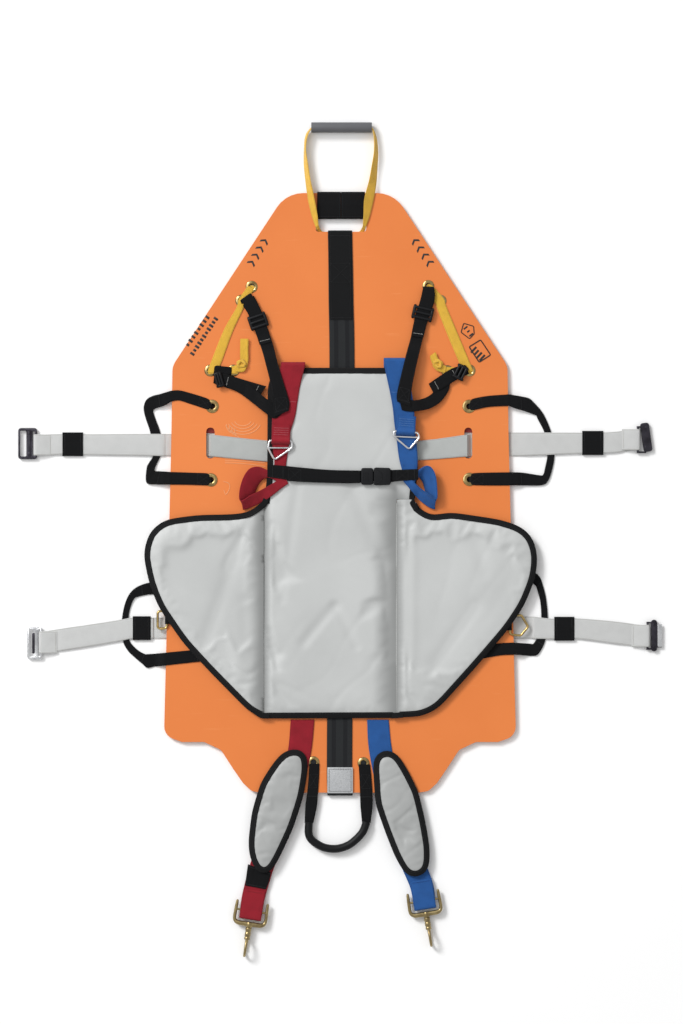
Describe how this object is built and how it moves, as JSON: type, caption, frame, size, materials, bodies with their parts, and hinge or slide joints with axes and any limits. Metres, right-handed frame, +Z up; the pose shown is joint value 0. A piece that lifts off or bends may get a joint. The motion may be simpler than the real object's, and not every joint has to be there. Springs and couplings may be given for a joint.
{
  "type": "soft spine board with harness",
  "caption": "Flexible drag-and-lift spine board: a thin shaped plastic sheet with a padded back and wings, shoulder, chest and leg harness straps, side straps and webbing handles.",
  "frame": {"origin": "centre of the base of the object's own box, lying flat on the floor", "axes": "+X across the board, +Y towards the head end, +Z up; nodes named left_ are at -X, on the right hand of a person lying on the board"},
  "size_m": [1.222, 1.5837, 0.032],
  "materials": {
    "board_plastic": "satin",
    "head_wrap_plastic": "satin",
    "black_webbing": "woven",
    "grey_webbing": "woven",
    "red_webbing": "woven",
    "blue_webbing": "woven",
    "yellow_webbing": "woven",
    "light_patch": "reflective weave",
    "pad_vinyl": "coated fabric over foam",
    "grip_rubber": "matt",
    "buckle_plastic": "satin",
    "dark_anodised": "anodised",
    "steel": "polished",
    "brass": "polished"
  },
  "bodies": {
    "board": {"board_sheet": "board_plastic", "head_bar_wrap": "head_wrap_plastic", "spine_strap": "black_webbing", "spine_strap_foot_patch": "light_patch", "back_pad": "pad_vinyl", "left_shoulder_strap": "red_webbing", "left_shoulder_lace": "yellow_webbing", "left_adjuster_strap": "black_webbing", "left_adjuster_slider": "buckle_plastic", "left_torso_strap_inner": "grey_webbing", "left_upper_handle_anchor": "black_webbing", "left_lower_handle_anchor": "black_webbing", "left_brass_ring": "brass", "right_shoulder_strap": "blue_webbing", "right_shoulder_lace": "yellow_webbing", "right_adjuster_strap": "black_webbing", "right_adjuster_slider": "buckle_plastic", "right_torso_strap_inner": "grey_webbing", "right_upper_handle_anchor": "black_webbing", "right_lower_handle_anchor": "black_webbing", "right_brass_ring": "brass", "lower_strap_under_board": "grey_webbing", "chest_buckle_socket": "buckle_plastic", "chest_stub": "black_webbing"},
    "drag_handle": {"drag_handle_webbing": "yellow_webbing", "drag_handle_grip": "grip_rubber"},
    "foot_handle": {"foot_handle_webbing": "black_webbing", "foot_handle_grip": "grip_rubber"},
    "chest": {"chest_strap": "black_webbing", "chest_buckle_plug": "buckle_plastic"},
    "left_wing": {"left_wing": "pad_vinyl"},
    "left_upper_handle": {"left_upper_handle": "black_webbing"},
    "left_lower_handle": {"left_lower_handle": "black_webbing"},
    "left_torso_strap": {"left_torso_strap": "grey_webbing"},
    "left_lower_strap": {"left_lower_strap": "grey_webbing"},
    "left_torso_keeper": {"left_torso_keeper": "black_webbing"},
    "left_lower_keeper": {"left_lower_keeper": "black_webbing"},
    "left_d_ring": {"left_d_ring": "steel"},
    "left_leg": {"left_leg_strap": "red_webbing", "left_leg_pad": "pad_vinyl"},
    "left_snap_eye_frame": {"left_snap_eye_frame": "brass"},
    "left_snap_hook": {"left_snap_hook": "brass"},
    "left_snap_gate": {"left_snap_gate": "brass"},
    "right_wing": {"right_wing": "pad_vinyl"},
    "right_upper_handle": {"right_upper_handle": "black_webbing"},
    "right_lower_handle": {"right_lower_handle": "black_webbing"},
    "right_torso_strap": {"right_torso_strap": "grey_webbing"},
    "right_lower_strap": {"right_lower_strap": "grey_webbing"},
    "right_torso_keeper": {"right_torso_keeper": "black_webbing"},
    "right_lower_keeper": {"right_lower_keeper": "black_webbing"},
    "right_d_ring": {"right_d_ring": "steel"},
    "right_leg": {"right_leg_strap": "blue_webbing", "right_leg_pad": "pad_vinyl"},
    "right_snap_eye_frame": {"right_snap_eye_frame": "brass"},
    "right_snap_hook": {"right_snap_hook": "brass"},
    "right_snap_gate": {"right_snap_gate": "brass"},
    "left_torso_end_frame": {"left_torso_end_frame": "dark_anodised"},
    "left_lower_end_frame": {"left_lower_end_frame": "dark_anodised"},
    "right_torso_end_tongue": {"right_torso_end_tongue": "dark_anodised"},
    "right_lower_end_tongue": {"right_lower_end_tongue": "dark_anodised"}
  },
  "joints": [
    {"name": "drag_handle_lift", "type": "hinge", "parent": "board", "child": "drag_handle", "pos_m": [0, 0.589, 0.0052], "axis": [1, 0, 0], "range_deg": [0, 95]},
    {"name": "foot_handle_lift", "type": "hinge", "parent": "board", "child": "foot_handle", "pos_m": [0, -0.424, 0.0094], "axis": [-1, 0, 0], "range_deg": [0, 100]},
    {"name": "left_wing_fold", "type": "hinge", "parent": "board", "child": "left_wing", "pos_m": [-0.1445, -0.13, 0.022], "axis": [0, 1, 0], "range_deg": [0, 100]},
    {"name": "right_wing_fold", "type": "hinge", "parent": "board", "child": "right_wing", "pos_m": [0.1075, -0.13, 0.022], "axis": [0, -1, 0], "range_deg": [0, 100]},
    {"name": "left_upper_handle_lift", "type": "hinge", "parent": "board", "child": "left_upper_handle", "pos_m": [-0.321, 0.19, 0.0094], "axis": [0, 1, 0], "range_deg": [0, 45]},
    {"name": "right_upper_handle_lift", "type": "hinge", "parent": "board", "child": "right_upper_handle", "pos_m": [0.321, 0.19, 0.0094], "axis": [0, -1, 0], "range_deg": [0, 45]},
    {"name": "left_lower_handle_lift", "type": "hinge", "parent": "board", "child": "left_lower_handle", "pos_m": [-0.352, -0.16, 0.001], "axis": [0, 1, 0], "range_deg": [0, 35]},
    {"name": "right_lower_handle_lift", "type": "hinge", "parent": "board", "child": "right_lower_handle", "pos_m": [0.362, -0.15, 0.001], "axis": [0, -1, 0], "range_deg": [0, 35]},
    {"name": "left_torso_strap_lift", "type": "hinge", "parent": "left_upper_handle", "child": "left_torso_strap", "pos_m": [-0.321, 0.18, 0.001], "axis": [0, 1, 0], "range_deg": [0, 45]},
    {"name": "right_torso_strap_lift", "type": "hinge", "parent": "right_upper_handle", "child": "right_torso_strap", "pos_m": [0.321, 0.181, 0.001], "axis": [0, -1, 0], "range_deg": [0, 45]},
    {"name": "left_lower_strap_lift", "type": "hinge", "parent": "left_lower_handle", "child": "left_lower_strap", "pos_m": [-0.352, -0.172, 0.001], "axis": [0, 1, 0], "range_deg": [0, 35]},
    {"name": "right_lower_strap_lift", "type": "hinge", "parent": "right_lower_handle", "child": "right_lower_strap", "pos_m": [0.362, -0.167, 0.001], "axis": [0, -1, 0], "range_deg": [0, 35]},
    {"name": "left_torso_keeper_slide", "type": "slide", "parent": "left_torso_strap", "child": "left_torso_keeper", "axis": [1, 0, 0], "range_m": [-0.015, 0.015]},
    {"name": "right_torso_keeper_slide", "type": "slide", "parent": "right_torso_strap", "child": "right_torso_keeper", "axis": [1, 0, 0], "range_m": [-0.015, 0.015]},
    {"name": "left_lower_keeper_slide", "type": "slide", "parent": "left_lower_strap", "child": "left_lower_keeper", "axis": [1, 0, 0], "range_m": [-0.0025, 0]},
    {"name": "right_lower_keeper_slide", "type": "slide", "parent": "right_lower_strap", "child": "right_lower_keeper", "axis": [1, 0, 0], "range_m": [-0.009, 0.015]},
    {"name": "left_torso_end_frame_swing", "type": "hinge", "parent": "left_torso_strap", "child": "left_torso_end_frame", "pos_m": [-0.5775, 0.18, 0.0046], "axis": [0, 1, 0], "range_deg": [0, 90]},
    {"name": "left_lower_end_frame_swing", "type": "hinge", "parent": "left_lower_strap", "child": "left_lower_end_frame", "pos_m": [-0.5675, -0.195, 0.0046], "axis": [0, 1, 0], "range_deg": [0, 90]},
    {"name": "right_torso_end_tongue_swing", "type": "hinge", "parent": "right_torso_strap", "child": "right_torso_end_tongue", "pos_m": [0.5655, 0.19, 0.0046], "axis": [0, -1, 0], "range_deg": [0, 90]},
    {"name": "right_lower_end_tongue_swing", "type": "hinge", "parent": "right_lower_strap", "child": "right_lower_end_tongue", "pos_m": [0.584, -0.1825, 0.0046], "axis": [0, -1, 0], "range_deg": [0, 90]},
    {"name": "left_d_ring_swing", "type": "hinge", "parent": "board", "child": "left_d_ring", "pos_m": [-0.1122, 0.18755, 0.0272], "axis": [-0.9994, 0.0346, 0], "range_deg": [0, 110]},
    {"name": "right_d_ring_swing", "type": "hinge", "parent": "board", "child": "right_d_ring", "pos_m": [0.1246, 0.20445, 0.0272], "axis": [-0.9971, 0.0765, 0], "range_deg": [0, 110]},
    {"name": "chest_buckle_release", "type": "slide", "parent": "board", "child": "chest", "axis": [1, 0, 0], "range_m": [-0.025, 0]},
    {"name": "left_leg_lift", "type": "hinge", "parent": "board", "child": "left_leg", "pos_m": [-0.07, -0.341, 0.0094], "axis": [-1, 0, 0], "range_deg": [0, 80]},
    {"name": "right_leg_lift", "type": "hinge", "parent": "board", "child": "right_leg", "pos_m": [0.07, -0.341, 0.0094], "axis": [-1, 0, 0], "range_deg": [0, 80]},
    {"name": "left_snap_eye_swing", "type": "hinge", "parent": "left_leg", "child": "left_snap_eye_frame", "pos_m": [-0.1683, -0.7047, 0.009], "axis": [-0.9879, 0.155, 0], "range_deg": [0, 75]},
    {"name": "left_snap_swivel", "type": "hinge", "parent": "left_snap_eye_frame", "child": "left_snap_hook", "pos_m": [-0.17372, -0.73928, 0.009], "axis": [-0.155, -0.9879, 0], "continuous": true},
    {"name": "left_snap_gate_press", "type": "hinge", "parent": "left_snap_hook", "child": "left_snap_gate", "pos_m": [-0.17717, -0.76121, 0.0028], "axis": [-0.9879, 0.155, 0], "range_deg": [0, 16], "stiffness_Nm_per_rad": 0.02},
    {"name": "right_snap_eye_swing", "type": "hinge", "parent": "right_leg", "child": "right_snap_eye_frame", "pos_m": [0.1596, -0.6853, 0.009], "axis": [-0.9871, -0.16, 0], "range_deg": [0, 75]},
    {"name": "right_snap_swivel", "type": "hinge", "parent": "right_snap_eye_frame", "child": "right_snap_hook", "pos_m": [0.1652, -0.71985, 0.009], "axis": [0.16, -0.9871, 0], "continuous": true},
    {"name": "right_snap_gate_press", "type": "hinge", "parent": "right_snap_hook", "child": "right_snap_gate", "pos_m": [0.16875, -0.74176, 0.0028], "axis": [-0.9871, -0.16, 0], "range_deg": [0, 16], "stiffness_Nm_per_rad": 0.02}
  ]
}
